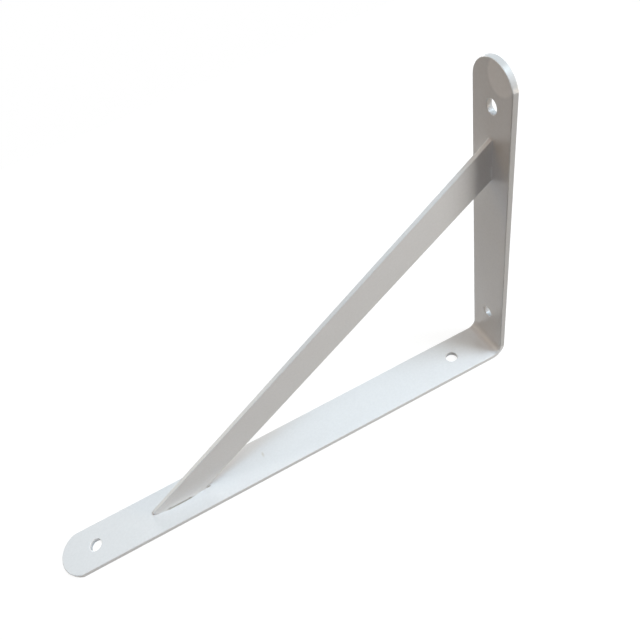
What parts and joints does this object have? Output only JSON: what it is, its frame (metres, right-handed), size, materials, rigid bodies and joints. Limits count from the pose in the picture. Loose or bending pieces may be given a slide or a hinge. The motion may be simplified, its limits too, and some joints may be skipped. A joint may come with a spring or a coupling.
{
  "type": "support bracket",
  "caption": "L-shaped flat-bar support bracket with a diagonal brace welded on edge across its corner, rounded leg ends and plain fixing holes, for carrying a shelf or worktop on a wall.",
  "frame": {"origin": "middle of the long leg's outer face, halfway between the short leg's outer face and the long leg's tip", "axes": "+X along the long leg towards its tip, +Y across the bar's width, +Z along the short leg towards its tip"},
  "size_m": [0.325, 0.03, 0.205],
  "materials": {
    "white_powder_coat": "satin"
  },
  "bodies": {
    "root": {"angle_bar": "white_powder_coat", "brace": "white_powder_coat", "foot_welds": "white_powder_coat", "head_welds": "white_powder_coat"}
  },
  "joints": []
}
